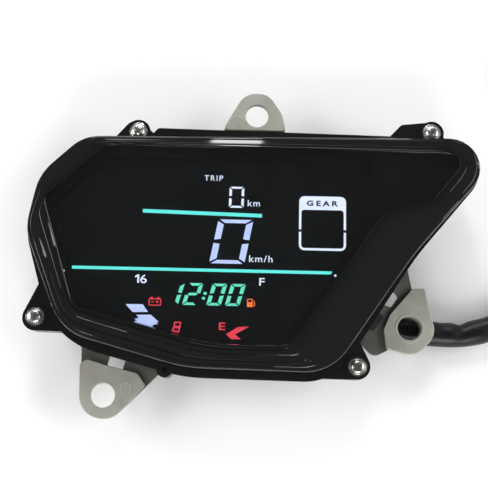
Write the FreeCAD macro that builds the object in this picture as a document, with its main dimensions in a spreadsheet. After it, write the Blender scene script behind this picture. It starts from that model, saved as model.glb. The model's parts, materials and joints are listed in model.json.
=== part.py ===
import FreeCAD, Part
import math
import os
import Sketcher

# Liquid-crystal instrument cluster for a motorcycle, lying on its back.
# Frame: X across the display, Y towards its top edge, Z out of its face.
# The origin is on the surface it rests on, under the middle of the object.
# Every length is in millimetres.

Vector = FreeCAD.Vector

# ---- driving dimensions -------------------------------------------------------------

dimensions = {
    # heights above the rest face
    "tubFloor": 2.0,
    "stayBack": 12.0,
    "steelSheet": 2.3,
    "shellFloor": 2.0,
    "boardBack": 21.6,
    "boardThick": 1.6,
    "flangeBack": 24.0,
    "flangeThick": 2.4,
    "frameThick": 2.5,
    "lensShoulder": 35.0,
    "lensFace": 38.5,
    "lensFront": 40.0,
    # walls and edges
    "shellWall": 2.2,
    "lensWall": 2.2,
    "lensBevel": 3.0,
    "sealDepth": 1.2,
    # fasteners
    "bossRadius": 5.3,
    "coverHeadRadius": 4.1,
    "coverShankRadius": 1.65,
    "threadHoleRadius": 1.7,
    "screwClearance": 2.2,
    "stayHeadRadius": 3.9,
    "stayShankRadius": 1.65,
    "boardHeadRadius": 1.9,
    "boardShankRadius": 0.8,
    # ears
    "earHoleRadius": 5.25,
    "collarRadius": 6.7,
    "collarLength": 5.8,
    # display stack
    "polariserThick": 0.25,
    "glassThick": 1.05,
    "diffuserThick": 1.0,
    # harness
    "cableRadius": 5.3,
    "exitHeight": 5.8,
    "cableHeight": 5.35,
    "plugLength": 26.0,
    "plugWidth": 19.0,
    "plugHeight": 10.5,
    "latchAxleRadius": 0.7,
    "latchHoleRadius": 0.75,
}

# ---- outlines: corners as (x, y, radius), clockwise from the left ---------------------

lensOutline = [
    (-97.6, 4.0, 23.0), (-93.3, 28.3, 23.0), (-75.0, 46.0, 17.5), (113.0, 48.85, 13.0),
    (68.4, -2.7, 130.0), (33.2, -54.2, 22.0), (-28.2, -53.2, 70.0), (-80.2, -39.1, 23.3),
]
flangeOutline = [
    (-98.6, 3.8, 24.0), (-94.7, 28.9, 24.0), (-75.5, 47.4, 18.5), (114.3, 50.0, 14.0),
    (69.7, -3.35, 130.0), (34.9, -57.6, 24.0), (-28.6, -56.7, 73.0), (-84.6, -42.0, 34.0),
]
plateauOutline = [
    (-89.8, 17.0, 5.0), (-63.9, 42.0, 6.0), (93.2, 41.4, 5.0), (75.5, 19.45, 1.0),
    (54.7, 13.55, 1.5), (15.2, -43.7, 7.0), (-17.8, -43.7, 90.0), (-75.0, -28.5, 7.0),
]
glassOutline = [
    (-87.6, 16.6, 2.0), (-62.8, 38.2, 2.0), (50.5, 37.8, 2.0), (50.5, 12.2, 2.0),
    (13.2, -42.9, 3.0), (-20.5, -43.1, 40.0), (-76.2, -28.4, 3.0),
]
trayOutline = [
    (-86.0, 16.1, 1.0), (-67.1, 32.6, 1.0), (49.1, 32.6, 1.0), (49.1, 12.6, 1.0),
    (12.5, -41.5, 1.5), (-20.3, -41.7, 38.0), (-75.0, -27.3, 1.5),
]
tubOutline = [(-62.0, 26.0, 8.0), (42.0, 26.0, 8.0), (42.0, -38.0, 8.0), (-62.0, -38.0, 8.0)]
topTabOutline = [(-49.0, 46.0, 1.0), (-43.4, 52.65, 2.5), (61.0, 51.1, 1.0), (61.0, 46.0, 1.0)]
hookOutline = [
    (48.8, -27.6, 0.3), (54.6, -26.6, 0.8), (57.0, -28.2, 0.8), (52.6, -34.4, 0.8), (44.5, -33.4, 0.3),
]
screwArms = [
    [(-89.0, -12.0, 1.0), (-101.0, -38.2, 5.6), (-77.0, -38.6, 1.0)],
    [(43.0, -34.5, 1.0), (53.4, -56.2, 5.6), (22.0, -56.0, 1.0)],
    [(-66.0, 43.5, 1.0), (-53.5, 58.2, 5.3), (-40.0, 45.0, 1.0)],
    [(55.5, 47.0, 1.0), (64.4, 56.5, 2.5), (80.9, 58.3, 5.3), (84.5, 46.5, 1.0)],
]
coverScrews = [(-92.4, -32.4), (44.6, -50.8), (-52.0, 50.7), (77.7, 52.8)]
dimpleBoss = (-36.6, -53.4)
breatherPlace = (-48.0, 14.0)

stayOutline = [
    (-14.7, 44.0, 4.0), (-14.4, 57.6, 2.0), (-9.5, 64.0, 3.0), (9.5, 64.0, 3.0), (13.3, 58.0, 2.0),
    (13.6, 44.0, 4.0), (50.0, 41.0, 8.0), (66.0, 8.0, 10.0), (70.6, -15.0, 3.0), (75.0, -21.0, 2.0),
    (75.0, -28.0, 2.0), (62.4, -36.0, 2.0), (59.6, -42.2, 2.5), (53.4, -45.2, 4.0), (46.9, -38.6, 3.5),
    (47.6, -33.5, 2.0), (36.0, -49.0, 8.0), (-34.0, -49.5, 6.0), (-40.4, -54.8, 1.5), (-56.6, -71.3, 2.0),
    (-66.0, -71.5, 4.0), (-73.6, -64.0, 3.0), (-74.6, -40.0, 4.0), (-82.0, -20.0, 8.0), (-80.0, 14.0, 10.0),
    (-56.0, 38.0, 10.0),
]
stayOpening = [(-63.3, 27.3, 9.0), (43.3, 27.3, 9.0), (43.3, -39.3, 9.0), (-63.3, -39.3, 9.0)]
stayWindows = [
    [(-61.4, -44.4, 0.6), (-62.9, -51.3, 0.6), (-56.0, -53.0, 0.6), (-53.6, -44.8, 0.6)],
    [(59.6, -13.6, 1.5), (64.7, -18.0, 1.5), (61.4, -23.3, 1.5), (54.6, -20.6, 1.5)],
]
stayScrews = [(-71.8, -6.0), (-36.0, 34.0), (28.0, 34.0), (52.2, 2.0), (-10.0, -44.6)]
ears = {
    "top_ear_plate": {
        "hole": (0.4, 63.5),
        "outline": [
            (-14.6, 57.4, 1.0), (-10.9, 64.4, 25.0), (-5.2, 74.3, 8.5), (5.4, 74.3, 8.0),
            (11.9, 64.6, 12.0), (13.4, 57.6, 1.0), (11.8, 56.5, 0.6), (-12.6, 56.5, 0.6),
        ],
    },
    "left_ear_plate": {
        "hole": (-63.9, -64.35),
        "outline": [
            (-74.6, -50.8, 2.0), (-71.2, -48.9, 2.5), (-62.8, -51.4, 6.0), (-49.2, -54.5, 3.0),
            (-45.7, -59.6, 1.2), (-59.0, -74.4, 9.5), (-73.8, -74.4, 10.6),
        ],
    },
    "right_ear_plate": {
        "hole": (69.0, -32.45),
        "outline": [
            (70.4, -15.0, 1.5), (76.0, -14.7, 1.0), (78.6, -27.8, 12.0), (81.2, -34.8, 9.0),
            (71.4, -45.0, 9.5), (58.6, -41.4, 1.5), (57.6, -33.2, 3.0), (60.4, -26.6, 3.0),
        ],
    },
}

# ---- circuit board ------------------------------------------------------------------

boardScrews = [(-40.2, 38.85), (26.0, 38.65), (51.25, 22.6), (-0.8, -43.75), (-44.8, -37.5), (-84.7, 2.2)]
boardPosts = [(-84.0, 12.0), (-66.0, -34.0), (36.0, -38.0), (62.0, 4.0), (84.0, 36.0), (-66.0, 34.5)]
ledPlaces = [(x, y) for x in (-60.0, -40.0, -20.0, 0.0, 20.0) for y in (-18.0, 4.0, 26.0)]
capacitorPlaces = [(-46.0, 12.0), (-34.0, 12.0)]
smallPartPlaces = [(-30.0 + 6.0 * column, -8.0 - 5.0 * row) for column in range(5) for row in range(4)]

# ---- harness ------------------------------------------------------------------------

# The sleeve leaves the case sideways, passes under the right ear and turns up beside the object.
cableRoute = [
    (56.0, -27.9, 5.6), (67.0, -31.2, 5.4), (80.0, -33.7, 5.35), (97.0, -33.8, 5.35),
    (113.0, -28.6, 5.35), (127.5, -18.0, 5.35), (141.0, -2.0, 5.35), (147.5, 15.5, 5.35),
    (149.0, 35.0, 5.35), (146.0, 54.0, 5.35), (140.0, 72.0, 5.35),
]
arcShare = 0.45  # the share of the shorter run that each arc takes up
nozzleLength = 13.0
exitDirection = (Vector(*cableRoute[1]) - Vector(*cableRoute[0])).normalize()
nozzleRoot = Vector(*cableRoute[0]) - exitDirection * nozzleLength

doc = FreeCAD.newDocument("InstrumentCluster")
sheet = doc.addObject("Spreadsheet::Sheet", "Dimensions")
for row, (alias, value) in enumerate(dimensions.items(), start=1):
    sheet.set(f"A{row}", alias)
    sheet.set(f"B{row}", str(value))
    sheet.setAlias(f"B{row}", alias)
doc.recompute()

nodes = []

# heights that follow from the driving dimensions
shellBack = "Dimensions.stayBack + Dimensions.steelSheet"
flangeTop = "Dimensions.flangeBack + Dimensions.flangeThick"
frameTop = f"{flangeTop} + Dimensions.frameThick"
boardFront = "Dimensions.boardBack + Dimensions.boardThick"


def size(name):
    """The value of a driving dimension, for geometry that the code works out."""
    return float(sheet.get(name))


def asExpression(value):
    """A length as an expression: a number, a dimension's name or an expression already."""
    if isinstance(value, str):
        return f"Dimensions.{value}" if value in dimensions else value
    return str(value)


# ---- outlines ------------------------------------------------------------------------


def inset(corners, distance):
    """The outline moved inwards by a distance, with its corner radii adjusted."""
    count = len(corners)
    points = [Vector(x, y, 0) for x, y, _ in corners]
    area = sum(points[i].cross(points[(i + 1) % count]).z for i in range(count)) / 2
    side = 1.0 if area > 0 else -1.0
    moved = []
    for i in range(count):
        before = (points[i] - points[i - 1]).normalize()
        after = (points[(i + 1) % count] - points[i]).normalize()
        first = Vector(-before.y, before.x, 0) * side
        second = Vector(-after.y, after.x, 0) * side
        bisector = (first + second) / (1 + first.dot(second))
        turn = before.cross(after).z * side
        radius = corners[i][2] - distance if turn > 0 else corners[i][2] + distance
        place = points[i] + bisector * distance
        moved.append((place.x, place.y, max(radius, 0.2)))
    return moved


def outlineEdges(corners):
    """Straight sides and tangent arcs through a list of rounded corners."""
    count = len(corners)
    points = [Vector(x, y, 0) for x, y, _ in corners]
    starts, ends, arcs = [], [], []
    for i in range(count):
        toLast = (points[i - 1] - points[i]).normalize()
        toNext = (points[(i + 1) % count] - points[i]).normalize()
        half = toLast.getAngle(toNext) / 2
        radius = corners[i][2]
        reach = radius / math.tan(half)
        start = points[i] + toLast * reach
        end = points[i] + toNext * reach
        inward = (toLast + toNext).normalize()
        middle = points[i] + inward * (radius / math.sin(half) - radius)
        starts.append(start)
        ends.append(end)
        arcs.append(Part.Arc(start, middle, end))
    edges = []
    for i in range(count):
        edges.append(arcs[i])
        edges.append(Part.LineSegment(ends[i], starts[(i + 1) % count]))
    return edges


# ---- PartDesign bodies ------------------------------------------------------------------


def newBody(label):
    body = doc.addObject("PartDesign::Body", label)
    body.Label = label
    nodes.append(body)
    return body


def originPlane(body, role="XY_Plane"):
    return next(item for item in body.Origin.OriginFeatures if item.Role == role)


def addSketch(body, name, level, outlines=(), circles=()):
    """A sketch parallel to the rest face. circles holds (x, y, radius), where radius may be a name."""
    sketch = body.newObject("Sketcher::SketchObject", name)
    sketch.AttachmentSupport = [(originPlane(body), "")]
    sketch.MapMode = "FlatFace"
    sketch.setExpression("AttachmentOffset.Base.z", asExpression(level))
    for corners in outlines:
        for edge in outlineEdges(corners):
            sketch.addGeometry(edge, False)
    for x, y, radius in circles:
        start = 1.0 if isinstance(radius, str) else radius
        ring = sketch.addGeometry(Part.Circle(Vector(x, y, 0), Vector(0, 0, 1), start), False)
        rule = sketch.addConstraint(Sketcher.Constraint("Radius", ring, start))
        sketch.setExpression(f"Constraints[{rule}]", asExpression(radius))
    return sketch


def addPad(body, name, level, height, outlines=(), circles=()):
    pad = body.newObject("PartDesign::Pad", name)
    pad.Profile = addSketch(body, name + "Sketch", level, outlines, circles)
    pad.setExpression("Length", asExpression(height))
    body.Tip = pad
    return pad


def addPocket(body, name, level, depth, outlines=(), circles=()):
    """Cuts downwards from the given level."""
    pocket = body.newObject("PartDesign::Pocket", name)
    pocket.Profile = addSketch(body, name + "Sketch", level, outlines, circles)
    pocket.setExpression("Length", asExpression(depth))
    body.Tip = pocket
    return pocket


def plate(label, level, height, corners, holes=()):
    """A flat piece of one thickness."""
    body = newBody(label)
    addPad(body, label + "Plate", level, height, [corners], holes)
    return body


# ---- Part primitives ----------------------------------------------------------------------


def cylinder(name, radius, height, x, y, level, axis="Z"):
    rod = doc.addObject("Part::Cylinder", name)
    rod.setExpression("Radius", asExpression(radius))
    rod.setExpression("Height", asExpression(height))
    turns = {"Z": (Vector(0, 0, 1), 0), "X": (Vector(0, 1, 0), 90), "Y": (Vector(1, 0, 0), -90)}
    rod.Placement = FreeCAD.Placement(Vector(x, y, 0), FreeCAD.Rotation(*turns[axis]))
    rod.setExpression("Placement.Base.z", asExpression(level))
    return rod


def block(name, length, width, height, x, y, level):
    """A box centred on x and y that stands on the given level."""
    box = doc.addObject("Part::Box", name)
    box.setExpression("Length", asExpression(length))
    box.setExpression("Width", asExpression(width))
    box.setExpression("Height", asExpression(height))
    box.setExpression("Placement.Base.x", f"{x} - ({asExpression(length)}) / 2")
    box.setExpression("Placement.Base.y", f"{y} - ({asExpression(width)}) / 2")
    box.setExpression("Placement.Base.z", asExpression(level))
    return box


def fuse(name, pieces):
    joined = doc.addObject("Part::MultiFuse", name)
    joined.Shapes = pieces
    return joined


def cut(name, base, tools):
    trimmed = doc.addObject("Part::Cut", name)
    trimmed.Base = base
    trimmed.Tool = tools[0] if len(tools) == 1 else fuse(name + "Tools", tools)
    return trimmed


def group(label, pieces):
    """Identical separate pieces that share one node."""
    gathered = doc.addObject("Part::Compound", label)
    gathered.Label = label
    gathered.Links = pieces
    nodes.append(gathered)
    return gathered


def asNode(label, made):
    made.Label = label
    nodes.append(made)
    return made


def place(made, origin, degrees):
    made.Placement = FreeCAD.Placement(origin, FreeCAD.Rotation(Vector(0, 0, 1), degrees))


# ---- housing ----------------------------------------------------------------------------


def makeLensCover():
    body = newBody("lens_cover")
    skirt = f"Dimensions.lensShoulder - ({frameTop})"
    addPad(body, "LensSkirt", frameTop, skirt, [lensOutline])
    bevel = body.newObject("PartDesign::AdditiveLoft", "LensBevel")
    bevel.Profile = addSketch(body, "LensBevelFoot", "lensShoulder", [lensOutline])
    bevel.Sections = [addSketch(body, "LensBevelTop", "lensFace", [inset(lensOutline, size("lensBevel"))])]
    bevel.Ruled = True
    body.Tip = bevel
    rise = "Dimensions.lensFront - Dimensions.lensFace"
    addPad(body, "LensPlateau", "lensFace", rise, [plateauOutline])
    underFace = "Dimensions.lensFace - Dimensions.lensWall"
    hollow = f"{underFace} - ({frameTop})"
    deeper = size("lensWall") + 1.0
    windowWall = 2.0
    addPocket(body, "LensSkirtHollow", "lensShoulder", skirt, [inset(lensOutline, size("lensWall"))])
    addPocket(body, "LensFaceHollow", underFace, hollow, [inset(lensOutline, deeper)])
    addPocket(body, "LensWindowHollow", "Dimensions.lensFront - Dimensions.lensWall",
              rise, [inset(plateauOutline, windowWall)])
    return body


def makeInnerMask():
    """The black sheet round the display, with a rim that stands on the front frame."""
    body = newBody("inner_mask")
    rimHeight = 4.3
    rimWall = 1.6
    sheetThick = 1.2
    lensGap = 0.4
    glassLap = 0.9
    outer = inset(lensOutline, size("lensWall") + lensGap)
    addPad(body, "MaskRim", frameTop, rimHeight + sheetThick, [outer])
    addPocket(body, "MaskHollow", f"{frameTop} + {rimHeight}", rimHeight, [inset(outer, rimWall)])
    addPocket(body, "MaskWindow", f"{frameTop} + {rimHeight + sheetThick}", sheetThick,
              [inset(glassOutline, glassLap)])
    return body


def makeFrontFrame():
    """The black ring that carries the lens and takes the four cover screws."""
    body = newBody("front_frame")
    bossRise = 0.7
    dimpleRise = 0.4
    ringWidth = 4.5
    looseFit = 0.3
    addPad(body, "FrameRing", flangeTop, "frameThick", [flangeOutline])
    addPad(body, "FrameTopTab", flangeTop, "frameThick", [topTabOutline])
    for index, arm in enumerate(screwArms):
        addPad(body, f"FrameArm{index}", flangeTop, "frameThick", [arm])
        x, y = coverScrews[index]
        addPad(body, f"FrameBoss{index}", flangeTop,
               f"Dimensions.frameThick + {bossRise}", [], [(x, y, "bossRadius")])
    addPad(body, "FrameDimpleBoss", flangeTop, f"Dimensions.frameThick + {dimpleRise}", [],
           [(*dimpleBoss, 3.5)])
    addPocket(body, "FrameOpening", frameTop, "frameThick", [inset(lensOutline, ringWidth)])
    addPocket(body, "FrameLensClearance", f"{frameTop} + {bossRise}", bossRise, [inset(lensOutline, -0.2)])
    seats = [(x, y, f"Dimensions.coverHeadRadius + {looseFit}") for x, y in coverScrews]
    holes = [(x, y, "screwClearance") for x, y in coverScrews]
    addPocket(body, "FrameScrewSeats", f"{frameTop} + {bossRise}", bossRise, [], seats)
    addPocket(body, "FrameScrewHoles", frameTop, "frameThick", [], holes)
    addPocket(body, "FrameDimple", f"{frameTop} + {dimpleRise}", 1.2, [], [(*dimpleBoss, 1.3)])
    return body


def makeMainSeal():
    body = newBody("main_seal")
    addPad(body, "SealRing", f"{flangeTop} - Dimensions.sealDepth", "sealDepth", [inset(lensOutline, 0.1)])
    addPocket(body, "SealOpening", flangeTop, "sealDepth", [inset(lensOutline, 1.9)])
    return body


def makeRearCase():
    body = newBody("rear_case")
    shellStep = 1.0
    flangeStep = 0.3
    armDrop = 4.0
    dimpleDrop = 6.0
    shellDepth = f"Dimensions.flangeBack - ({shellBack})"
    addPad(body, "CaseShell", shellBack, shellDepth, [inset(lensOutline, shellStep)])
    addPad(body, "CaseTub", "0", shellBack, [tubOutline])
    addPad(body, "CaseFlange", "flangeBack", "flangeThick", [inset(flangeOutline, flangeStep)])
    addPad(body, "CaseTopTab", "flangeBack", "flangeThick", [inset(topTabOutline, flangeStep)])
    columnDepth = f"{flangeTop} - ({shellBack}) - 1.0"
    for index, arm in enumerate(screwArms):
        addPad(body, f"CaseArm{index}", f"Dimensions.flangeBack - {armDrop}",
               f"Dimensions.flangeThick + {armDrop}", [inset(arm, flangeStep)])
        x, y = coverScrews[index]
        addPad(body, f"CaseColumn{index}", f"{shellBack} + 1.0", columnDepth, [], [(x, y, 4.8)])
    addPad(body, "CaseDimpleColumn", f"Dimensions.flangeBack - {dimpleDrop}",
           f"Dimensions.flangeThick + {dimpleDrop}", [], [(*dimpleBoss, 3.2)])
    addPad(body, "CaseHook", "Dimensions.flangeBack - 5", 3.6, [hookOutline])
    shellFloor = f"({shellBack}) + Dimensions.shellFloor"
    addPocket(body, "CaseHollow", flangeTop, f"{flangeTop} - ({shellFloor})",
              [inset(lensOutline, size("shellWall") + shellStep)])
    addPocket(body, "CaseTubHollow", shellFloor, f"{shellFloor} - Dimensions.tubFloor",
              [inset(tubOutline, size("shellWall"))])
    posts = [(x, y, 2.5) for x, y in boardPosts]
    addPad(body, "CasePosts", shellFloor, f"Dimensions.boardBack - ({shellFloor})", [], posts)
    bosses = [(x, y, 3.8) for x, y in stayScrews]
    addPad(body, "CaseStayBosses", shellFloor, 3.6, [], bosses)
    addPocket(body, "CaseSealGroove", flangeTop, "sealDepth",
              [lensOutline, inset(lensOutline, 2.0)])
    addPocket(body, "CaseScrewHoles", flangeTop, 10.0, [],
              [(x, y, "threadHoleRadius") for x, y in coverScrews])
    addPocket(body, "CaseStayHoles", f"{shellBack} + 5.0", 5.0, [],
              [(x, y, "threadHoleRadius") for x, y in stayScrews])
    addPocket(body, "CaseBreatherSeat", "0.9", 0.9, [], [(*breatherPlace, 5.0)])
    doc.recompute()
    # the harness leaves through a slot in the right-hand wall of the tub
    slot = block("CaseExitSlot", 5.0, 11.2, 6.6, 41.0, nozzleRoot.y, "Dimensions.exitHeight - 3.3")
    nodes.remove(body)
    body.Label = "rear_case_shell"
    return asNode("rear_case", cut("RearCaseWithExit", body, [slot]))


# ---- display stack --------------------------------------------------------------------------


def makeDisplayStack():
    gap = 0.05
    trayTop = 5.8
    frameHeight = 9.8
    level = size("boardBack") + size("boardThick") + trayTop
    plate("diffuser_plate", level, "diffuserThick", inset(trayOutline, -0.9))
    level += size("diffuserThick") + gap
    plate("rear_polariser", level, "polariserThick", trayOutline)
    level += size("polariserThick") + gap
    plate("lcd_rear_glass", level, "glassThick", glassOutline)
    rearGlassBack = level
    level += size("glassThick") + gap
    plate("lcd_front_glass", level, "glassThick", inset(glassOutline, 0.4))
    level += size("glassThick") + gap
    plate("front_polariser", level, "polariserThick", inset(glassOutline, 1.0))

    tray = newBody("reflector_tray")
    addPad(tray, "TrayBlock", f"{boardFront} + 0.2", trayTop - 0.2, [trayOutline])
    addPocket(tray, "TrayHollow", f"{boardFront} + {trayTop}", 4.6, [inset(trayOutline, 1.8)])
    addPocket(tray, "TrayLightHoles", f"{boardFront} + 1.2", 1.0, [], [(x, y, 2.6) for x, y in ledPlaces])

    frame = newBody("lcd_frame")
    addPad(frame, "DisplayFrameRing", boardFront, frameHeight,
           [inset(glassOutline, -2.4), inset(glassOutline, 0.9)])
    addPocket(frame, "DisplayFrameSeat", f"{boardFront} + {frameHeight}", frameHeight - trayTop,
              [inset(glassOutline, -0.3)])
    addPocket(frame, "DisplayFrameScrewHoles", f"{boardFront} + 5.0", 5.0, [],
              [(x, y, "Dimensions.boardShankRadius + 0.05") for x, y in boardScrews])

    stripHeight = f"{rearGlassBack} - ({boardFront})"
    asNode("zebra_strip", block("ZebraStrip", 100.0, 2.4, stripHeight, -12.0, 35.4, boardFront))


def makeCircuitBoard():
    holes = [(x, y, "Dimensions.boardShankRadius + 0.3") for x, y in boardScrews]
    plate("circuit_board", "boardBack", "boardThick", inset(lensOutline, 5.5), holes)
    group("backlight_leds", [
        block(f"Led{i}", 3.0, 2.8, 1.1, x, y, boardFront) for i, (x, y) in enumerate(ledPlaces)
    ])
    processor = block("Microcontroller", 14.0, 14.0, 1.6, -8.0, 12.0, "Dimensions.boardBack - 1.6")
    driver = block("DisplayDriver", 10.0, 10.0, 1.4, 16.0, 14.0, "Dimensions.boardBack - 1.4")
    asNode("microcontroller", processor)
    asNode("display_driver", driver)
    tab = block("RegulatorTab", 4.0, 9.0, 1.0, -53.0, -10.0, "Dimensions.boardBack - 1.0")
    case = block("RegulatorCase", 9.0, 10.0, 2.6, -46.5, -10.0, "Dimensions.boardBack - 2.6")
    asNode("voltage_regulator", fuse("VoltageRegulator", [tab, case]))
    group("filter_capacitors", [
        cylinder(f"Capacitor{i}", 4.0, 10.5, x, y, "Dimensions.boardBack - 10.5")
        for i, (x, y) in enumerate(capacitorPlaces)
    ])
    core = cylinder("ChokeCore", 4.6, 5.0, -40.0, -26.0, "Dimensions.boardBack - 5.0")
    foot = block("ChokeFoot", 10.0, 10.0, 1.0, -40.0, -26.0, "Dimensions.boardBack - 1.0")
    asNode("choke_coil", fuse("ChokeCoil", [core, foot]))
    group("small_components", [
        block(f"SmallPart{i}", 2.0, 1.3, 0.8, x, y, "Dimensions.boardBack - 0.8")
        for i, (x, y) in enumerate(smallPartPlaces)
    ])
    header = block("HeaderBlock", 24.0, 9.0, 8.6, 18.0, -8.0, "Dimensions.boardBack - 8.6")
    mouth = block("HeaderMouth", 21.6, 6.6, 7.2, 18.0, -8.0, "Dimensions.boardBack - 8.6")
    asNode("board_header", cut("BoardHeader", header, [mouth]))
    pinRows = [(18.0 + 2.0 * column, -8.0 + side) for column in range(-4, 5) for side in (-1.4, 1.4)]
    pinTip = "Dimensions.boardBack - 4.2"
    pins = [block(f"HeaderPin{i}", 0.6, 0.6, 2.8, x, y, pinTip) for i, (x, y) in enumerate(pinRows)]
    group("header_pins", pins)
    asNode("board_plug", block("BoardPlug", 21.0, 6.0, 8.0, 18.0, -8.0, f"{pinTip} - 8.2"))
    headThick = 1.5
    head = f"Dimensions.boardBack - {headThick}"
    screws = []
    for i, (x, y) in enumerate(boardScrews):
        cap = cylinder(f"BoardScrewHead{i}", "boardHeadRadius", headThick, x, y, head)
        shank = cylinder(f"BoardScrewShank{i}", "boardShankRadius", 6.0, x, y, "boardBack")
        drive = block(f"BoardScrewSlotA{i}", 2.2, 0.5, 0.7, x, y, head)
        cross = block(f"BoardScrewSlotB{i}", 0.5, 2.2, 0.7, x, y, head)
        screws.append(cut(f"BoardScrew{i}", fuse(f"BoardScrewSolid{i}", [cap, shank]), [drive, cross]))
    group("board_screws", screws)


# ---- fasteners and steel stay -------------------------------------------------------------------


def makeCoverScrews():
    """Flanged screws with a cross recess, one in each boss."""
    washerThick = 0.9
    headHeight = 1.6
    shankLength = 11.0
    slotDepth = 1.4
    slotBottom = f"{frameTop} + {washerThick + headHeight - slotDepth}"
    screws = []
    for i, (x, y) in enumerate(coverScrews):
        washer = cylinder(f"CoverScrewWasher{i}", "coverHeadRadius", washerThick, x, y, frameTop)
        head = cylinder(f"CoverScrewHead{i}", 2.9, headHeight, x, y, f"{frameTop} + {washerThick}")
        shank = cylinder(f"CoverScrewShank{i}", "coverShankRadius", shankLength, x, y,
                         f"{frameTop} - {shankLength}")
        wide = block(f"CoverScrewSlotA{i}", 3.6, 0.8, slotDepth, x, y, slotBottom)
        tall = block(f"CoverScrewSlotB{i}", 0.8, 3.6, slotDepth, x, y, slotBottom)
        solid = fuse(f"CoverScrewSolid{i}", [washer, head, shank])
        screws.append(cut(f"CoverScrew{i}", solid, [wide, tall]))
    group("cover_screws", screws)


def makeStay():
    body = newBody("stay_frame")
    boltClearance = 7.0
    addPad(body, "StaySheet", "stayBack", "steelSheet", [stayOutline])
    sheetTop = shellBack
    addPocket(body, "StayOpening", sheetTop, "steelSheet", [stayOpening])
    addPocket(body, "StayWindows", sheetTop, "steelSheet", stayWindows)
    boltPlaces = [ears["top_ear_plate"]["hole"], ears["left_ear_plate"]["hole"]]
    clearances = [(x, y, boltClearance) for x, y in boltPlaces]
    addPocket(body, "StayEarClearances", sheetTop, "steelSheet", [], clearances)
    x, y = ears["right_ear_plate"]["hole"]
    addPocket(body, "StayCollarClearance", sheetTop, "steelSheet", [],
              [(x, y, "Dimensions.collarRadius + 0.4")])
    addPocket(body, "StayScrewHoles", sheetTop, "steelSheet", [],
              [(x, y, "screwClearance") for x, y in stayScrews])
    for label, ear in ears.items():
        x, y = ear["hole"]
        radius = "collarRadius" if label == "right_ear_plate" else "earHoleRadius"
        plate(label, shellBack, "steelSheet", ear["outline"], [(x, y, radius)])
    x, y = ears["right_ear_plate"]["hole"]
    collarRise = 0.1
    collarFoot = f"{shellBack} + Dimensions.steelSheet + {collarRise} - Dimensions.collarLength"
    sleeve = cylinder("CollarSleeve", "collarRadius", "collarLength", x, y, collarFoot)
    bore = cylinder("CollarBore", "earHoleRadius", "collarLength", x, y, collarFoot)
    asNode("right_ear_collar", cut("RightEarCollar", sleeve, [bore]))


def makeStayScrews():
    washers, screws = [], []
    washerThick = 0.8
    headHeight = 2.6
    slotDepth = 1.4
    for i, (x, y) in enumerate(stayScrews):
        back = f"Dimensions.stayBack - {washerThick}"
        disc = cylinder(f"StayWasherDisc{i}", 4.6, washerThick, x, y, back)
        hole = cylinder(f"StayWasherHole{i}", 2.1, washerThick, x, y, back)
        washers.append(cut(f"StayWasher{i}", disc, [hole]))
        head = cylinder(f"StayScrewHead{i}", "stayHeadRadius", headHeight, x, y, f"{back} - {headHeight}")
        shank = cylinder(f"StayScrewShank{i}", "stayShankRadius", 7.6, x, y, back)
        wide = block(f"StayScrewSlotA{i}", 4.2, 0.9, slotDepth, x, y, f"{back} - {headHeight}")
        tall = block(f"StayScrewSlotB{i}", 0.9, 4.2, slotDepth, x, y, f"{back} - {headHeight}")
        solid = fuse(f"StayScrewSolid{i}", [head, shank])
        screws.append(cut(f"StayScrew{i}", solid, [wide, tall]))
    group("stay_washers", washers)
    group("stay_screws", screws)


def makeBreather():
    asNode("breather_patch", cylinder("BreatherDisc", 4.8, 0.8, *breatherPlace, 0.1))


# ---- harness ----------------------------------------------------------------------------------


def makeGrommet():
    """Rubber grommet in the exit slot, with a tapered nozzle in line with the start of the sleeve."""
    y = nozzleRoot.y
    innerLip = block("GrommetInnerLip", 1.4, 12.6, 7.6, 39.0, y, "Dimensions.exitHeight - 7.6 / 2")
    neck = block("GrommetNeck", 4.4, 11.0, 6.4, 41.1, y, "Dimensions.exitHeight - 6.4 / 2")
    outerLip = block("GrommetOuterLip", 2.4, 13.4, 9.6, 43.3, y, "Dimensions.exitHeight - 9.6 / 2")
    nozzle = doc.addObject("Part::Cone", "GrommetNozzle")
    nozzle.Radius1 = 4.7
    nozzle.Radius2 = 4.2
    nozzle.Height = nozzleLength
    nozzle.Placement = FreeCAD.Placement(nozzleRoot, FreeCAD.Rotation(Vector(0, 0, 1), exitDirection))
    asNode("cable_grommet", fuse("CableGrommet", [innerLip, neck, outerLip, nozzle]))


def makeInnerLead():
    """The wires between the grommet and the plug on the board."""
    thick = 4.4
    bottom = f"Dimensions.exitHeight - {thick} / 2"
    along = block("InnerLeadRun", 12.0, 8.0, thick, 32.2, nozzleRoot.y, bottom)
    across = block("InnerLeadTurn", 9.0, 22.5, thick, 22.0, -19.2, bottom)
    rise = block("InnerLeadRise", 15.0, 5.0, 5.6, 18.0, -8.0, bottom)
    asNode("inner_lead", fuse("InnerLead", [along, across, rise]))


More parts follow.
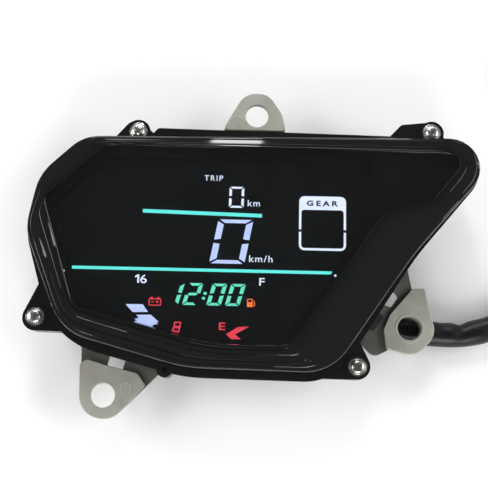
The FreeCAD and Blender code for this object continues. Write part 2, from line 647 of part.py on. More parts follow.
def sweptRoute(route, radius):
    """A round tube along straight runs that are joined by tangent arcs."""
    points = [Vector(*point) for point in route]
    edges, last = [], points[0]
    for i in range(1, len(points) - 1):
        before = points[i] - points[i - 1]
        after = points[i + 1] - points[i]
        turn = before.getAngle(after)
        arcRadius = arcShare * min(before.Length, after.Length) / math.tan(turn / 2)
        print(f"cable bend {i}: {math.degrees(turn):.1f} degrees, radius {arcRadius:.1f} mm")
        reach = arcRadius * math.tan(turn / 2)
        start = points[i] - before.normalize() * reach
        end = points[i] + after.normalize() * reach
        inward = (after - before).normalize()
        middle = points[i] + inward * (arcRadius / math.cos(turn / 2) - arcRadius)
        edges.append(Part.LineSegment(last, start).toShape())
        edges.append(Part.Arc(start, middle, end).toShape())
        last = end
    edges.append(Part.LineSegment(last, points[-1]).toShape())
    path = Part.Wire(edges)
    first = (points[1] - points[0]).normalize()
    section = Part.Wire(Part.Circle(points[0], first, radius).toShape())
    tube = path.makePipeShell([section], True, False)
    expected = math.pi * radius * radius * path.Length
    print(f"cable length {path.Length:.1f} mm, volume {tube.Volume:.0f} against {expected:.0f} mm3")
    return tube


def makeCable():
    cable = doc.addObject("Part::Feature", "HarnessCable")
    cable.Shape = sweptRoute(cableRoute, size("cableRadius"))
    asNode("harness_cable", cable)


def makeFarPlug():
    """The connector on the end of the harness, with its lock lever on an axle."""
    end = Vector(*cableRoute[-1])
    run = end - Vector(*cableRoute[-2])
    degrees = math.degrees(math.atan2(run.y, run.x))
    ground = Vector(end.x, end.y, 0)
    bottom = size("cableHeight") - size("plugHeight") / 2
    top = bottom + size("plugHeight")
    axleX = 18.0
    axleLevel = top + 1.7
    postPlace = 4.6
    rowPitch = 3.3
    rowRise = 4.4
    columns = (-2, -1, 0, 1, 2)

    boot = newBody("plug_boot")
    addPad(boot, "BootBlock", bottom + 0.6, "Dimensions.plugHeight - 1.2",
           [[(0.0, 6.4, 1.5), (5.0, 8.6, 1.0), (5.0, -8.6, 1.0), (0.0, -6.4, 1.5)]])
    place(boot, ground, degrees)

    sides = (-1, 1)
    shellMiddle = 5.0 + size("plugLength") / 2
    ridgePlace = size("plugWidth") / 2 + 0.4
    shell = block("PlugShell", "plugLength", "plugWidth", "plugHeight", shellMiddle, 0.0, bottom)
    ridges = [
        block(f"PlugRidge{side}", 20.0, 1.2, 2.6, 16.0, side * ridgePlace, bottom + 4.0) for side in sides
    ]
    posts = [
        block(f"PlugPost{side}", 3.0, 1.4, 3.1, axleX, side * postPlace, top - 0.2) for side in sides
    ]
    holes = [
        cylinder(f"PlugPostHole{side}", "latchHoleRadius", 3.0, axleX, side * postPlace - 1.5, axleLevel, "Y")
        for side in sides
    ]
    cavities = [
        block(f"PlugCavity{column}{row}", 8.0, 2.0, 2.2, 28.0, rowPitch * column,
              bottom + 2.0 + rowRise * row)
        for column in columns for row in (0, 1)
    ]
    housing = cut("PlugHousing", fuse("PlugHousingSolid", [shell, *ridges, *posts]), [*holes, *cavities])
    place(asNode("plug_housing", housing), ground, degrees)

    terminals = [
        block(f"PlugTerminal{column}{row}", 6.5, 1.2, 1.2, 27.25, rowPitch * column,
              bottom + 2.5 + rowRise * row)
        for column in columns for row in (0, 1)
    ]
    place(group("plug_terminals", terminals), ground, degrees)

    lever = block("LatchLever", 17.0, 6.4, 1.2, 19.5, 0.0, axleLevel - 0.6)
    thumb = block("LatchThumb", 2.4, 6.4, 1.0, 12.2, 0.0, axleLevel + 0.5)
    hook = block("LatchHook", 1.4, 6.4, 1.1, 27.3, 0.0, axleLevel - 1.2)
    axle = cylinder("LatchAxle", "latchAxleRadius", 9.6, axleX, -4.8, axleLevel, "Y")
    place(asNode("plug_latch", fuse("PlugLatch", [lever, thumb, hook, axle])), ground, degrees)
    turn = FreeCAD.Rotation(Vector(0, 0, 1), degrees)
    middle = ground + turn.multVec(Vector(axleX, 0, axleLevel))
    print(f"latch axle at {middle}, along {turn.multVec(Vector(0, 1, 0))}")


# ---- build, check and write ---------------------------------------------------------------------


makeLensCover()
makeInnerMask()
makeFrontFrame()
makeMainSeal()
makeRearCase()
makeDisplayStack()
makeCircuitBoard()
makeCoverScrews()
makeStay()
makeStayScrews()
makeBreather()
makeGrommet()
makeInnerLead()
makeCable()
makeFarPlug()
doc.recompute()

for item in doc.Objects:
    if "Invalid" in item.State or "Error" in item.State:
        raise RuntimeError(f"{item.Label} did not recompute: {item.State}")

os.makedirs("parts", exist_ok=True)
for node in nodes:
    if node.Shape.isNull() or not node.Shape.isValid():
        raise RuntimeError(f"{node.Label} has no valid shape")
    node.Shape.exportStep(os.path.join("parts", node.Label + ".step"))
    box = node.Shape.BoundBox
    print(f"{node.Label}: {len(node.Shape.Solids)} solids, {node.Shape.Volume:.1f} mm3, "
          f"x {box.XMin:.1f}..{box.XMax:.1f} y {box.YMin:.1f}..{box.YMax:.1f} "
          f"z {box.ZMin:.1f}..{box.ZMax:.1f}")
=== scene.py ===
import bmesh
import bpy
import json
import math
import random
from mathutils import Matrix, Vector


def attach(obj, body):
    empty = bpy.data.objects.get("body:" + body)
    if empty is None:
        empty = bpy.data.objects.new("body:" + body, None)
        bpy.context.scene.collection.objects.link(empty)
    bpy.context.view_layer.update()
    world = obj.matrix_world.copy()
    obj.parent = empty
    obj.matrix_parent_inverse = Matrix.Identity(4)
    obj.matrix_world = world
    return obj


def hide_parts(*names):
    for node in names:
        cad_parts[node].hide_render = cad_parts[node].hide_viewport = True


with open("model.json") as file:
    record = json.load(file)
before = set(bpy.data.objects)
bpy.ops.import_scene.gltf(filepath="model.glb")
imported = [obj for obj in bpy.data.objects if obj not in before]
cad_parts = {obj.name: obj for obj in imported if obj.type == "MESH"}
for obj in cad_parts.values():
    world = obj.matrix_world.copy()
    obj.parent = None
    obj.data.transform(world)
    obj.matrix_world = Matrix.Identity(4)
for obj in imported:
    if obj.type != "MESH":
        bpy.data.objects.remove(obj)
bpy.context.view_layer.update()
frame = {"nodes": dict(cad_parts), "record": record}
scene = bpy.context.scene
mm = 0.001
weldDistance = 1e-6  # m, closes the seams between a node's faces
print("frame loaded:", len(frame["nodes"]), "nodes")


# camera: held over the lower edge of the cluster, leaning towards its top edge

cameraSet = {
    "target": (-4.3, -1.2, 40.0),  # mm
    "distance": 400.0,  # mm
    "tilt": 11.5,  # degrees from straight down
    "roll": 1.25,  # degrees
    "lens": 70.2,  # mm
    "sensor": 36.0,  # mm
}


def makeCamera():
    tilt, roll = math.radians(cameraSet["tilt"]), math.radians(cameraSet["roll"])
    back = Vector((0, -math.sin(tilt), math.cos(tilt)))
    level = Vector((0, math.cos(tilt), math.sin(tilt)))
    right = Vector((1, 0, 0)) * math.cos(roll) + level * math.sin(roll)
    up = level * math.cos(roll) - Vector((1, 0, 0)) * math.sin(roll)
    place = (Vector(cameraSet["target"]) + back * cameraSet["distance"]) * mm
    data = bpy.data.cameras.new("camera")
    data.lens, data.sensor_width = cameraSet["lens"], cameraSet["sensor"]
    data.clip_start, data.clip_end = 0.01, 20
    camera = bpy.data.objects.new("camera", data)
    scene.collection.objects.link(camera)
    turn = Matrix((right, up, back)).transposed().to_4x4()
    camera.matrix_world = Matrix.Translation(place) @ turn
    scene.camera = camera


makeCamera()


# mesh helpers

def newPiece(name, mesh, material, body="cluster"):
    piece = bpy.data.objects.new(name, mesh)
    scene.collection.objects.link(piece)
    mesh.materials.clear()
    mesh.materials.append(material)
    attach(piece, body)
    return piece


def meshFrom(bm, name, smoothAngle=None):
    bmesh.ops.recalc_face_normals(bm, faces=bm.faces)
    mesh = bpy.data.meshes.new(name)
    bm.to_mesh(mesh)
    bm.free()
    if smoothAngle is not None:
        mesh.shade_smooth()
        mesh.set_sharp_from_angle(angle=math.radians(smoothAngle))
    return mesh


def roundedOutline(corners, steps=10):
    # straight sides and tangent arcs through (x, y, radius) corners, as one list of points per corner
    count = len(corners)
    points = [Vector((x, y)) for x, y, _ in corners]
    arcs = []
    for i in range(count):
        toLast = (points[i - 1] - points[i]).normalized()
        toNext = (points[(i + 1) % count] - points[i]).normalized()
        half = toLast.angle(toNext) / 2
        radius = corners[i][2]
        reach = radius / math.tan(half)
        middle = points[i] + (toLast + toNext).normalized() * (radius / math.sin(half))
        first = points[i] + toLast * reach - middle
        last = points[i] + toNext * reach - middle
        sweep = first.angle_signed(last)
        arcs.append([middle + Matrix.Rotation(-sweep * s / steps, 2) @ first for s in range(steps + 1)])
    return arcs


def circleRing(bm, x, y, radius, height, around):
    # a level ring of vertices, its measures given in mm
    ring = []
    for k in range(around):
        angle = 2 * math.pi * k / around
        outX, outY = radius * mm * math.cos(angle), radius * mm * math.sin(angle)
        ring.append(bm.verts.new((x * mm + outX, y * mm + outY, height * mm)))
    return ring


def joinRings(bm, rings, closed=False):
    pairs = list(zip(rings, rings[1:]))
    if closed:
        pairs.append((rings[-1], rings[0]))
    for low, high in pairs:
        for k in range(len(low)):
            bm.faces.new((low[k - 1], low[k], high[k], high[k - 1]))


def along(points, count):
    # evenly spaced points along an open run, its last point left out
    lengths = [0.0]
    for a, b in zip(points, points[1:]):
        lengths.append(lengths[-1] + (b - a).length)
    spread = []
    spot = 0
    for i in range(count):
        wanted = lengths[-1] * i / count
        while lengths[spot + 1] < wanted:
            spot += 1
        share = (wanted - lengths[spot]) / max(lengths[spot + 1] - lengths[spot], 1e-9)
        spread.append(points[spot].lerp(points[spot + 1], share))
    return spread


# materials

def newMaterial(name, colour, roughness, metallic=0.0, **sockets):
    material = bpy.data.materials.new(name)
    material.use_nodes = True
    shader = material.node_tree.nodes["Principled BSDF"]
    shader.inputs["Base Color"].default_value = (*colour, 1)
    shader.inputs["Roughness"].default_value = roughness
    shader.inputs["Metallic"].default_value = metallic
    for socket, value in sockets.items():
        shader.inputs[socket].default_value = value
    return material, material.node_tree, shader


def objectPoint(tree, scale=(1, 1, 1)):
    coordinate = tree.nodes.new("ShaderNodeTexCoord")
    mapping = tree.nodes.new("ShaderNodeMapping")
    mapping.inputs["Scale"].default_value = scale
    tree.links.new(coordinate.outputs["Object"], mapping.inputs["Vector"])
    return mapping.outputs["Vector"]


def addNoise(tree, scale, detail=3.0, stretch=(1, 1, 1), roughness=0.5):
    noise = tree.nodes.new("ShaderNodeTexNoise")
    noise.inputs["Scale"].default_value = scale
    noise.inputs["Detail"].default_value = detail
    noise.inputs["Roughness"].default_value = roughness
    tree.links.new(objectPoint(tree, stretch), noise.inputs["Vector"])
    return noise.outputs["Fac"]


def addBump(tree, shader, height, strength, distance):
    bump = tree.nodes.new("ShaderNodeBump")
    bump.inputs["Strength"].default_value = strength
    bump.inputs["Distance"].default_value = distance
    tree.links.new(height, bump.inputs["Height"])
    tree.links.new(bump.outputs["Normal"], shader.inputs["Normal"])


def spreadColour(tree, shader, factor, dark, light, low=0.35, high=0.65):
    ramp = tree.nodes.new("ShaderNodeValToRGB")
    ramp.color_ramp.elements[0].position = low
    ramp.color_ramp.elements[1].position = high
    ramp.color_ramp.elements[0].color = (*dark, 1)
    ramp.color_ramp.elements[1].color = (*light, 1)
    tree.links.new(factor, ramp.inputs["Fac"])
    tree.links.new(ramp.outputs["Color"], shader.inputs["Base Color"])


def spreadRoughness(tree, shader, factor, low, high):
    spread = tree.nodes.new("ShaderNodeMapRange")
    spread.inputs["From Min"].default_value = 0.3
    spread.inputs["From Max"].default_value = 0.7
    spread.inputs["To Min"].default_value = low
    spread.inputs["To Max"].default_value = high
    tree.links.new(factor, spread.inputs["Value"])
    tree.links.new(spread.outputs["Result"], shader.inputs["Roughness"])


def makeSmokedLens():
    material, tree, shader = newMaterial("smokedLens", (0.7, 0.74, 0.76), 0.02, IOR=1.49)
    shader.inputs["Transmission Weight"].default_value = 1.0
    spreadRoughness(tree, shader, addNoise(tree, 60, 2), 0.0, 0.015)
    return material


def makeLensBlack():
    # the part of the lens that is backed in black: polished, with the faint waviness of a moulding
    material, tree, shader = newMaterial("lensBlack", (0.0095, 0.0104, 0.01), 0.04, IOR=1.49)
    spreadRoughness(tree, shader, addNoise(tree, 70, 2), 0.03, 0.07)
    addBump(tree, shader, addNoise(tree, 35, 1), 0.04, 0.0002)
    return material


def makeGlossBlack(name, colour, low, high, grain):
    material, tree, shader = newMaterial(name, colour, low)
    shader.inputs["Coat Weight"].default_value = 0.3
    shader.inputs["Coat Roughness"].default_value = 0.03
    spreadColour(tree, shader, addNoise(tree, 40, 2), colour, tuple(c * 1.5 for c in colour))
    spreadRoughness(tree, shader, addNoise(tree, 90, 3), low, high)
    addBump(tree, shader, addNoise(tree, grain, 2), 0.05, 0.00002)
    return material


def makeMoulded(name, dark, light, roughness, grain, depth):
    # spark-eroded mould texture
    material, tree, shader = newMaterial(name, dark, roughness)
    spreadColour(tree, shader, addNoise(tree, 55, 3), dark, light)
    spreadRoughness(tree, shader, addNoise(tree, 140, 2), roughness - 0.06, roughness + 0.08)
    addBump(tree, shader, addNoise(tree, grain, 3), 0.35, depth)
    return material


def makeSteel(name, dark, light, low, high, stretch=(1, 1, 1), metallic=1.0):
    # rolled and zinc-plated sheet: cloudy plating with faint rolling marks
    material, tree, shader = newMaterial(name, light, low, metallic)
    spreadColour(tree, shader, addNoise(tree, 110, 4, roughness=0.6), dark, light, 0.3, 0.7)
    spreadRoughness(tree, shader, addNoise(tree, 260, 3, stretch), low, high)
    addBump(tree, shader, addNoise(tree, 900, 3, stretch), 0.12, 0.00005)
    return material


def makeRubber(name, colour, light, grain):
    material, tree, shader = newMaterial(name, colour, 0.6)
    spreadColour(tree, shader, addNoise(tree, 120, 3), colour, light)
    spreadRoughness(tree, shader, addNoise(tree, 200, 2), 0.5, 0.7)
    addBump(tree, shader, addNoise(tree, grain, 3), 0.3, 0.00005)
    return material


def makeSleeve():
    # soft vinyl: nearly black, with a low sheen that breaks on the creases
    material, tree, shader = newMaterial("sleeveVinyl", (0.004, 0.0045, 0.006), 0.36)
    shader.inputs["Specular IOR Level"].default_value = 0.35
    spreadColour(tree, shader, addNoise(tree, 120, 3), (0.003, 0.0035, 0.0045), (0.006, 0.0065, 0.009))
    spreadRoughness(tree, shader, addNoise(tree, 150, 2), 0.3, 0.44)
    addBump(tree, shader, addNoise(tree, 220, 2), 0.08, 0.0001)
    return material


def makeLit(name, colour, strength):
    # a lit segment, with the backlight a little uneven behind it
    material, tree, shader = newMaterial(name, colour, 0.5)
    shader.inputs["Emission Strength"].default_value = strength
    ramp = tree.nodes.new("ShaderNodeValToRGB")
    ramp.color_ramp.elements[0].position = 0.3
    ramp.color_ramp.elements[1].position = 0.7
    ramp.color_ramp.elements[0].color = (*(c * 0.88 for c in colour), 1)
    ramp.color_ramp.elements[1].color = (*colour, 1)
    tree.links.new(addNoise(tree, 160, 2), ramp.inputs["Fac"])
    tree.links.new(ramp.outputs["Color"], shader.inputs["Emission Color"])
    return material


def makeFilm(name, colour, roughness, sheen=0.5):
    material, tree, shader = newMaterial(name, colour, roughness)
    shader.inputs["Specular IOR Level"].default_value = sheen
    spreadColour(tree, shader, addNoise(tree, 30, 2), colour, tuple(c * 1.3 for c in colour))
    return material


def makeGlassPlate():
    material, tree, shader = newMaterial("displayGlass", (0.7, 0.78, 0.76), 0.03, IOR=1.52)
    shader.inputs["Transmission Weight"].default_value = 0.9
    spreadRoughness(tree, shader, addNoise(tree, 50, 2), 0.02, 0.05)
    return material


def makeBoardGreen():
    material, tree, shader = newMaterial("solderMask", (0.02, 0.13, 0.05), 0.3)
    spreadColour(tree, shader, addNoise(tree, 320, 2), (0.012, 0.1, 0.035), (0.03, 0.17, 0.07), 0.48, 0.52)
    addBump(tree, shader, addNoise(tree, 600, 2), 0.2, 0.00003)
    return material


def makeMaterials():
    return {
        "smoked_lens": makeSmokedLens(),
        "mask_black": makeFilm("maskBlack", (0.009, 0.0103, 0.01), 0.6, 0.15),
        "gloss_black": makeGlossBlack("glossBlack", (0.006, 0.0064, 0.0064), 0.1, 0.18, 500),
        "case_black": makeMoulded(
            "caseBlack", (0.012, 0.012, 0.013), (0.022, 0.022, 0.023), 0.42, 1500, 0.00006),
        "seal_rubber": makeRubber("sealRubber", (0.012, 0.012, 0.012), (0.022, 0.022, 0.022), 900),
        "opal": makeFilm("opalDiffuser", (0.8, 0.81, 0.83), 0.5),
        "polariser": makeFilm("polariserFilm", (0.009, 0.0103, 0.01), 0.6, 0.15),
        "display_glass": makeGlassPlate(),
        "white_plastic": makeMoulded(
            "reflectorWhite", (0.76, 0.76, 0.74), (0.86, 0.86, 0.84), 0.4, 900, 0.00003),
        "board_green": makeBoardGreen(),
        "led_white": makeFilm("ledLens", (0.85, 0.84, 0.7), 0.2),
        "chip_black": makeMoulded(
            "chipBlack", (0.015, 0.015, 0.017), (0.03, 0.03, 0.032), 0.5, 1800, 0.00003),
        "capacitor_can": makeSteel("capacitorCan", (0.5, 0.5, 0.52), (0.74, 0.74, 0.76), 0.25, 0.4),
        "connector_white": makeMoulded(
            "connectorWhite", (0.68, 0.66, 0.6), (0.8, 0.78, 0.72), 0.4, 900, 0.00003),
        "connector_black": makeMoulded(
            "connectorBlack", (0.014, 0.014, 0.015), (0.028, 0.028, 0.029), 0.42, 1300, 0.00004),
        "terminal_brass": makeSteel("terminalBrass", (0.5, 0.42, 0.2), (0.74, 0.64, 0.36), 0.2, 0.35),
        "zinc_steel": makeSteel("zincSteel", (0.55, 0.55, 0.53), (0.86, 0.86, 0.83), 0.16, 0.3),
        # the stay is the same sheet steel as the ears, painted much darker: painted shade of the case
        # falling over the stay strips
        "stay_steel": makeSteel(
            "staySteelPaintedShade", (0.13, 0.13, 0.115), (0.19, 0.19, 0.17), 0.4, 0.55, (1, 6, 1), 0.7),
        "ear_steel": makeSteel(
            "earSteel", (0.36, 0.355, 0.31), (0.46, 0.455, 0.4), 0.5, 0.62, (6, 1, 1), 0.55),
        "breather_grey": makeFilm("breatherMembrane", (0.5, 0.5, 0.5), 0.8),
        "sleeve_black": makeSleeve(),
    }


finishes = makeMaterials()
lensBlack = makeLensBlack()
slotOf = {row["node"]: row["material_slot"] for row in frame["record"]["subparts"]}
for node, nodeObject in frame["nodes"].items():
    nodeObject.data.materials.clear()
    nodeObject.data.materials.append(finishes[slotOf[node]])
print("finishes on", len(slotOf), "nodes")


# harness: a wrinkled vinyl sleeve that leaves under the right ear and turns up beside the cluster

harness = {
    "route": [
        (56.0, -27.9, 5.6), (67.0, -31.2, 5.4), (80.0, -33.7, 5.35), (97.0, -33.8, 5.35),
        (113.0, -28.6, 5.35), (127.5, -18.0, 5.35), (141.0, -2.0, 5.35), (147.5, 15.5, 5.35),
        (149.0, 35.0, 5.35), (146.0, 54.0, 5.35), (140.0, 72.0, 5.35),
    ],  # mm
    "radius": 5.35,  # mm
    "length": 0.173,  # m
    "around": 28,
    "spacing": 0.0006,  # m between rings
    "fullness": 1.02,
    "flatten": 0.05,  # the sleeve lies a little flattened
    "slim": 0.01,  # it is thinner by this share up to slimUntil
    "slimUntil": 0.047,  # m along the sleeve
    "slimBlend": 0.003,  # m
    "wrinkle": 0.2,  # mm for a fold of depth 1
    "seed": 5,
    "foldCount": 44,
    "foldRange": (0.050, 0.17),  # m along the sleeve
    "foldWidth": (0.0018, 0.004),  # m
    "foldDepth": (0.4, 1.8),
    # m along the sleeve, width in m and depth of the two folds beside the ear
    "earFolds": [(0.0385, 0.0032, 6.0), (0.0300, 0.0028, 2.0)],
}


def routeLine(points):
    # the smooth line of the route, as even points in metres
    curve = bpy.data.curves.new("harnessLine", "CURVE")
    curve.dimensions = "3D"
    curve.resolution_u = 24
    spline = curve.splines.new("NURBS")
    spline.points.add(len(points) - 1)
    for spot, point in zip(spline.points, points):
        spot.co = (*(c * mm for c in point), 1)
    spline.order_u = 3
    spline.use_endpoint_u = True
    holder = bpy.data.objects.new("harnessLine", curve)
    scene.collection.objects.link(holder)
    bpy.context.view_layer.update()
    line = bpy.data.meshes.new_from_object(holder.evaluated_get(bpy.context.evaluated_depsgraph_get()))
    spots = [v.co.copy() for v in line.vertices]
    bpy.data.objects.remove(holder)
    bpy.data.meshes.remove(line)
    return spots


def sleeveRadius(distance, angle, folds):
    # slack vinyl, in mm: thin where it leaves the ear, fuller after the first fold
    flat = harness["fullness"] - harness["flatten"] * math.cos(2 * angle)
    rise = math.tanh((distance - harness["slimUntil"]) / harness["slimBlend"])
    base = harness["radius"] * flat * (1 - harness["slim"] + harness["slim"] * rise)
    swell = sum(
        depth * math.exp(-((distance - where) / width) ** 2) * (1 + math.cos(angle - side)) / 2
        for where, width, depth, side in folds
    )
    return base - harness["wrinkle"] * swell


def makeHarness():
    rough = routeLine(harness["route"])
    random.seed(harness["seed"])
    sideways = math.pi / 2  # the side of the sleeve that faces the top edge of the cluster
    folds = [
        (random.uniform(*harness["foldRange"]), random.uniform(*harness["foldWidth"]),
         random.uniform(*harness["foldDepth"]), random.uniform(0, 2 * math.pi))
        for _ in range(harness["foldCount"])
    ]
    folds += [(where, width, depth, sideways) for where, width, depth in harness["earFolds"]]
    total = sum((b - a).length for a, b in zip(rough, rough[1:]))
    count = int(total / harness["spacing"])
    spots = along(rough, count) + [rough[-1]]
    bm = bmesh.new()
    rings = []
    for i, spot in enumerate(spots):
        ahead = spots[min(i + 1, len(spots) - 1)] - spots[max(i - 1, 0)]
        ahead.normalize()
        side = ahead.cross(Vector((0, 0, 1))).normalized()
        top = side.cross(ahead)
        distance = total * i / (len(spots) - 1)
        ring = []
        for k in range(harness["around"]):
            angle = 2 * math.pi * k / harness["around"]
            radius = sleeveRadius(distance, angle, folds) * mm
            outward = top * math.cos(angle) - side * math.sin(angle)
            ring.append(bm.verts.new(spot + outward * radius))
        rings.append(ring)
    for low, high in zip(rings, rings[1:]):
        for k in range(len(low)):
            bm.faces.new((low[k], low[k - 1], high[k - 1], high[k]))
    bm.faces.new(rings[0])
    bm.faces.new(list(reversed(rings[-1])))
    mesh = meshFrom(bm, "harness_sleeve", 60)
    sleeve = newPiece("harness_sleeve", mesh, finishes["sleeve_black"])
    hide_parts("harness_cable")
    print("harness sleeve", round(total, 4), "m long")


makeHarness()


# lens cover: stepped bevel round a raised window, moulded in one piece of smoked plastic

lensSet = {
    "edge": [
        (-97.6, 4.0, 23.0), (-93.3, 28.3, 23.0), (-75.0, 46.0, 17.5), (113.0, 48.85, 13.0),
        (68.4, -2.7, 130.0), (33.2, -54.2, 22.0), (-28.2, -53.2, 70.0), (-80.2, -39.1, 23.3),
    ],
    "window": [
        (-89.8, 17.0, 5.0), (-63.9, 42.0, 6.0), (93.2, 41.4, 5.0), (75.5, 19.45, 1.0),
        (54.7, 13.55, 1.5), (15.2, -43.7, 7.0), (-17.8, -43.7, 90.0), (-75.0, -28.5, 7.0),
    ],
    # the edge corner that each window corner faces; None faces the side after the last such corner
    "pairs": [0, 2, 3, None, 4, 5, 6, 7],
    "pointsPerSide": [26, 60, 40, 30, 60, 40, 50, 40],
    # how strong the fine ridges and the deeper grooves are at each window corner
    "ridges": [0.2, 0.8, 0.6, 0.0, 0.0, 0.4, 1.0, 0.6],
    "grooves": [0.0, 0.0, 0.0, 0.0, 0.0, 0.3, 1.0, 0.7],
    # share of the way from edge to window, mm inwards from there, height in mm,
    # then what a full ridge and a full groove add to the height
    "profile": [
        (0, 0.0, 28.9, 0, 0), (0, 0.0, 35.2, 0, 0), (0, 0.1, 36.0, 0, 0), (0, 0.3, 36.6, 0, 0),
        (0, 0.6, 36.95, 0, 0),
        (0.16, 0, 37.12, -0.02, 0), (0.175, 0, 37.13, -0.2, 0), (0.19, 0, 37.14, 0.1, 0),
        (0.205, 0, 37.16, 0.12, 0), (0.24, 0, 37.2, 0.08, 0),
        (0.33, 0, 37.3, 0, 0.1), (0.345, 0, 37.31, 0, -0.45), (0.4, 0, 37.36, 0, -0.45),
        (0.415, 0, 37.38, 0, 0.06),
        (0.63, 0, 37.6, -0.02, 0), (0.645, 0, 37.61, -0.2, 0), (0.66, 0, 37.63, 0.12, 0),
        (0.675, 0, 37.65, 0.14, 0), (0.71, 0, 37.69, 0.1, 0),
        (0.82, 0, 37.8, 0, 0.1), (0.835, 0, 37.81, 0, -0.45), (0.9, 0, 37.88, 0, -0.45),
        (0.915, 0, 37.9, 0, 0.05),
        (1, -0.3, 38.0, 0, 0), (1, -0.24, 39.3, 0, 0), (1, -0.2, 39.75, 0, 0), (1, -0.1, 39.95, 0, 0),
        (1, 0.1, 40.0, 0, 0),
    ],
    "back": [
        (1, 0.15, 39.95, 0, 0), (1, 0.15, 37.6, 0, 0), (1, -0.2, 36.6, 0, 0), (0.5, 0.0, 34.9, 0, 0),
        (0, 2.8, 33.4, 0, 0), (0, 2.2, 32.6, 0, 0), (0, 2.2, 28.9, 0, 0),
    ],
    "slab": [(1, 0.2, 37.8, 0, 0), (1, 0.2, 39.9, 0, 0), (1, 0.3, 40.0, 0, 0)],
    "smoothAngle": 40,  # degrees
}


def lensRuns():
    # matched points on the lens edge and on the window edge, in mm, with the strengths there
    windowArcs = roundedOutline(lensSet["window"])
    edgeArcs = roundedOutline(lensSet["edge"])
    middle = len(windowArcs[0]) // 2
    count = len(windowArcs)
    starts = []
    for i, pair in enumerate(lensSet["pairs"]):
        if pair is None:
            near = windowArcs[i][middle]
            before = lensSet["pairs"][i - 1]
            first, last = edgeArcs[before][-1], edgeArcs[before + 1][0]
            way = (last - first).normalized()
            starts.append((before, first + way * (near - first).dot(way)))
        else:
            starts.append((pair, edgeArcs[pair][middle]))
    window, edge, ridges, grooves = [], [], [], []
    for i in range(count):
        j = (i + 1) % count
        inner = windowArcs[i][middle:] + windowArcs[j][:middle + 1]
        pointCount = lensSet["pointsPerSide"][i]
        window += along(inner, pointCount)
        for kind, values in (("ridges", ridges), ("grooves", grooves)):
            here, there = lensSet[kind][i], lensSet[kind][j]
            values += [here + (there - here) * n / pointCount for n in range(pointCount)]
        k, point = starts[i]
        outer = [point]
        if lensSet["pairs"][i] is not None:
            outer += edgeArcs[k][middle + 1:]
        end, endPoint = starts[j]
        while k != end and (k + 1) % count != end:
            k = (k + 1) % count
            outer += edgeArcs[k]
        if k != end and lensSet["pairs"][j] is not None:
            outer += edgeArcs[end][:middle]
        elif k != end:
            outer += edgeArcs[end]
        edge += along(outer + [endPoint], pointCount)
    return list(zip(edge, window, ridges, grooves))


def addRing(bm, runs, share, reach, height, ridgeRise, grooveRise):
    ring = []
    for outer, inner, ridge, groove in runs:
        spot = outer.lerp(inner, share) + (inner - outer).normalized() * reach
        rise = height + ridgeRise * ridge + grooveRise * groove
        ring.append(bm.verts.new((spot.x * mm, spot.y * mm, rise * mm)))
    return ring


def makeLens():
    runs = lensRuns()
    border = bmesh.new()
    rings = [addRing(border, runs, *row) for row in lensSet["profile"] + lensSet["back"]]
    joinRings(border, rings, closed=True)
    borderMesh = meshFrom(border, "lens_border", lensSet["smoothAngle"])
    slab = bmesh.new()
    rings = [addRing(slab, runs, *row) for row in lensSet["slab"]]
    joinRings(slab, rings)
    slab.faces.new(rings[0])
    slab.faces.new(rings[-1])
    slabMesh = meshFrom(slab, "lens_window", lensSet["smoothAngle"])
    pieces = (
        newPiece("lens_border", borderMesh, lensBlack),
        newPiece("lens_window", slabMesh, finishes["smoked_lens"]),
    )
    for piece in pieces:
        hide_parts("lens_cover")
    print("lens border", len(borderMesh.polygons), "faces")


makeLens()


# display graphics: thin printed pieces on the front film, lit from behind

displaySet = {
    "level": 32.83,  # mm, just above the front film
    "thick": 0.12,  # mm
    "shift": (-0.3, 0.15),  # mm, moves all of the lettering together
    "white": (0.80, 0.84, 1.0),
    "lavender": (0.55, 0.62, 1.0),
    "teal": (0.13, 0.80, 0.72),
    "green": (0.14, 0.72, 0.50),
    "red": (0.80, 0.05, 0.08),
    "orange": (0.85, 0.20, 0.05),
    "power": 1.2,  # emission strength
}
litFinish = {
    tone: makeLit("lit" + tone.capitalize(), displaySet[tone], displaySet["power"])
    for tone in ("white", "lavender", "teal", "green", "red", "orange")
}
inkFinish = makeFilm("displayInk", (0.01, 0.01, 0.02), 0.5)


def flatPieces(name, outlines, material, lift=0.0):
    # each outline, in mm, becomes a thin plate; all of them are one piece
    bm = bmesh.new()
    low = (displaySet["level"] + lift) * mm
    shiftX, shiftY = displaySet["shift"]
    for outline in outlines:
        verts = [bm.verts.new(((x + shiftX) * mm, (y + shiftY) * mm, low)) for x, y in outline]
        face = bm.faces.new(verts)
        made = bmesh.ops.extrude_face_region(bm, geom=[face])
        raised = [v for v in made["geom"] if isinstance(v, bmesh.types.BMVert)]
        bmesh.ops.translate(bm, verts=raised, vec=(0, 0, displaySet["thick"] * mm))
    return newPiece(name, meshFrom(bm, name), material)


def segmentShapes(width, height, stroke, bar, gap):
    # the seven segments of an upright digit with its lower left corner at 0, 0
    half = height / 2
    s, b, g = stroke, bar, gap
    return {
        "top": [(g, height), (width - g, height), (width - s - g / 2, height - b), (s + g / 2, height - b)],
        "bottom": [(g, 0), (s + g / 2, b), (width - s - g / 2, b), (width - g, 0)],
        "middle": [(s * 0.55, half), (s + g / 2, half + b / 2), (width - s - g / 2, half + b / 2),
                   (width - s * 0.55, half), (width - s - g / 2, half - b / 2), (s + g / 2, half - b / 2)],
        "upperLeft": [(0, height - g), (s, height - b - g), (s, half + g + b / 4), (0, half + g)],
        "upperRight": [(width, height - g), (width, half + g), (width - s, half + g + b / 4),
                       (width - s, height - b - g)],
        "lowerLeft": [(0, g), (0, half - g), (s, half - g - b / 4), (s, b + g)],
        "lowerRight": [(width, g), (width - s, b + g), (width - s, half - g - b / 4), (width, half - g)],
    }


